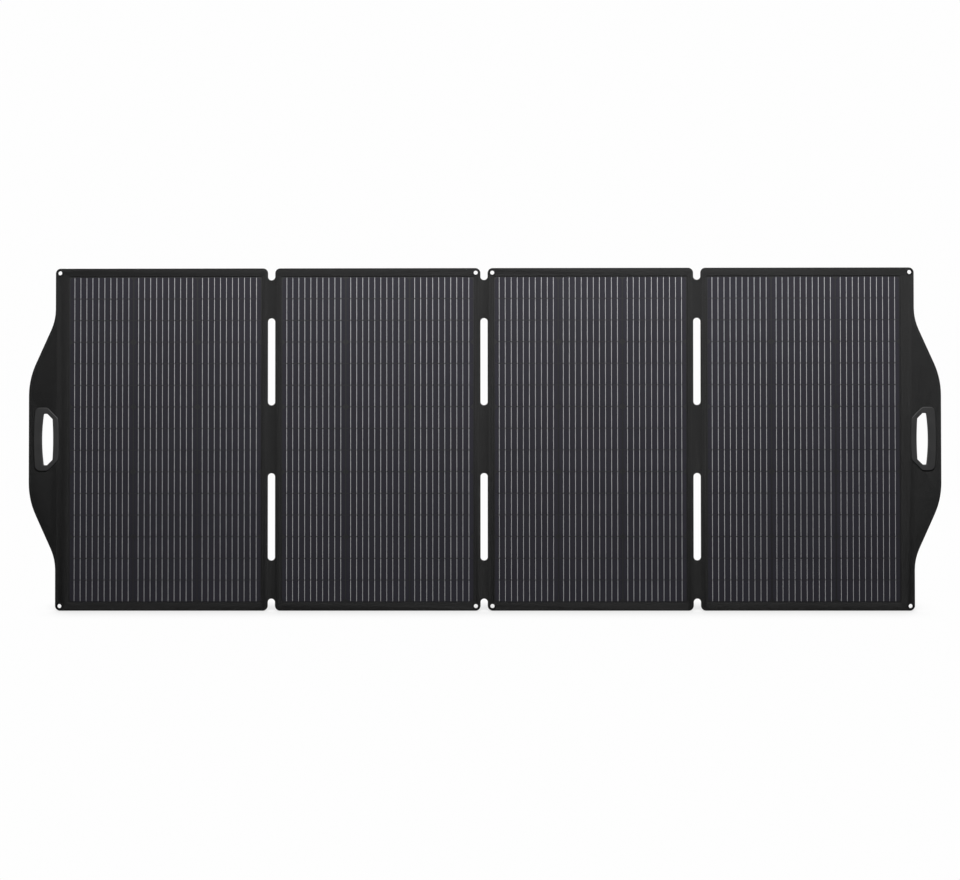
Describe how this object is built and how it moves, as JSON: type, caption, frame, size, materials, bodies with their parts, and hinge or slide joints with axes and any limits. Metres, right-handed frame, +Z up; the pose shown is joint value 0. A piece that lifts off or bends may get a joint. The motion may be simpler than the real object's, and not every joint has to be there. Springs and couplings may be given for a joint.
{
  "type": "folding solar panel",
  "caption": "Fold-out solar mat of hinged fabric panels with rows of cut cells, end wings with hand grips, eyelets, and two rear legs that lean it back.",
  "frame": {"origin": "middle of the ground rectangle that the leaning mat and its legs stand in", "axes": "+X along the unfolded mat, +Y from the mat's front to the legs behind it, +Z up"},
  "size_m": [2.645, 0.3514, 0.9605],
  "materials": {
    "coated_fabric": "matte",
    "stiff_band": "matte",
    "laminate_back": "satin",
    "silicon_cell": "satin",
    "tinned_ribbon": "satin",
    "clear_film": "satin",
    "eyelet_metal": "satin",
    "grip_plastic": "matte",
    "copper_conductor": "satin",
    "leg_board": "matte",
    "hinge_steel": "satin",
    "foot_rubber": "matte",
    "webbing": "matte",
    "box_plastic": "satin",
    "circuit_board": "satin"
  },
  "bodies": {
    "panel_2": {"panel_2_front_cover": "coated_fabric", "panel_2_back_cover": "coated_fabric", "panel_2_edge_band": "stiff_band", "panel_2_board": "laminate_back", "panel_2_cells": "silicon_cell", "panel_2_ribbons": "tinned_ribbon", "panel_2_film": "clear_film", "panel_2_eyelets": "eyelet_metal", "fold_left_webs": "coated_fabric", "fold_left_conductors": "copper_conductor", "fold_centre_webs": "coated_fabric", "fold_centre_conductors": "copper_conductor"},
    "panel_1": {"panel_1_front_cover": "coated_fabric", "panel_1_back_cover": "coated_fabric", "panel_1_edge_band": "stiff_band", "panel_1_board": "laminate_back", "panel_1_cells": "silicon_cell", "panel_1_ribbons": "tinned_ribbon", "panel_1_film": "clear_film", "panel_1_eyelets": "eyelet_metal", "handle_left_front_ring": "grip_plastic", "handle_left_back_ring": "grip_plastic", "stand_left_hinge_base": "hinge_steel", "stand_left_hinge_pin": "hinge_steel", "stand_left_strap": "webbing"},
    "panel_3": {"panel_3_front_cover": "coated_fabric", "panel_3_back_cover": "coated_fabric", "panel_3_edge_band": "stiff_band", "panel_3_board": "laminate_back", "panel_3_cells": "silicon_cell", "panel_3_ribbons": "tinned_ribbon", "panel_3_film": "clear_film", "panel_3_eyelets": "eyelet_metal", "fold_right_webs": "coated_fabric", "fold_right_conductors": "copper_conductor"},
    "panel_4": {"panel_4_front_cover": "coated_fabric", "panel_4_back_cover": "coated_fabric", "panel_4_edge_band": "stiff_band", "panel_4_board": "laminate_back", "panel_4_cells": "silicon_cell", "panel_4_ribbons": "tinned_ribbon", "panel_4_film": "clear_film", "panel_4_eyelets": "eyelet_metal", "handle_right_front_ring": "grip_plastic", "handle_right_back_ring": "grip_plastic", "stand_right_hinge_base": "hinge_steel", "stand_right_hinge_pin": "hinge_steel", "stand_right_strap": "webbing", "junction_box_tray": "box_plastic", "junction_box_seal": "foot_rubber", "junction_box_lid": "box_plastic", "junction_box_screws": "hinge_steel", "junction_box_circuit": "circuit_board", "junction_box_socket": "box_plastic"},
    "stand_left": {"stand_left_hinge_leaf": "hinge_steel", "stand_left_leg": "leg_board", "stand_left_foot": "foot_rubber"},
    "stand_right": {"stand_right_hinge_leaf": "hinge_steel", "stand_right_leg": "leg_board", "stand_right_foot": "foot_rubber"}
  },
  "joints": [
    {"name": "fold_centre", "type": "hinge", "parent": "panel_2", "child": "panel_3", "pos_m": [0, -0.16889, -0.00052], "axis": [0, 0.2588, 0.9659], "range_deg": [0, 180], "deforming": ["fold_centre_webs", "fold_centre_conductors"]},
    {"name": "fold_left", "type": "hinge", "parent": "panel_2", "child": "panel_1", "pos_m": [-0.617, -0.17758, 0.00181], "axis": [0, 0.2588, 0.9659], "range_deg": [0, 180], "deforming": ["fold_left_webs", "fold_left_conductors"]},
    {"name": "fold_right", "type": "hinge", "parent": "panel_3", "child": "panel_4", "pos_m": [0.617, -0.17758, 0.00181], "axis": [0, -0.2588, -0.9659], "range_deg": [0, 180], "deforming": ["fold_right_webs", "fold_right_conductors"]},
    {"name": "stand_left_swing", "type": "hinge", "parent": "panel_1", "child": "stand_left", "pos_m": [-0.931, 0.03541, 0.75226], "axis": [1, 0, 0], "range_deg": [-25, 0], "deforming": ["stand_left_strap"]},
    {"name": "stand_right_swing", "type": "hinge", "parent": "panel_4", "child": "stand_right", "pos_m": [0.931, 0.03541, 0.75226], "axis": [1, 0, 0], "range_deg": [-25, 0], "deforming": ["stand_right_strap"]}
  ],
  "couplings": [
    {"joint": "fold_left", "follows": "fold_centre", "ratio": 1},
    {"joint": "fold_right", "follows": "fold_centre", "ratio": 1}
  ]
}
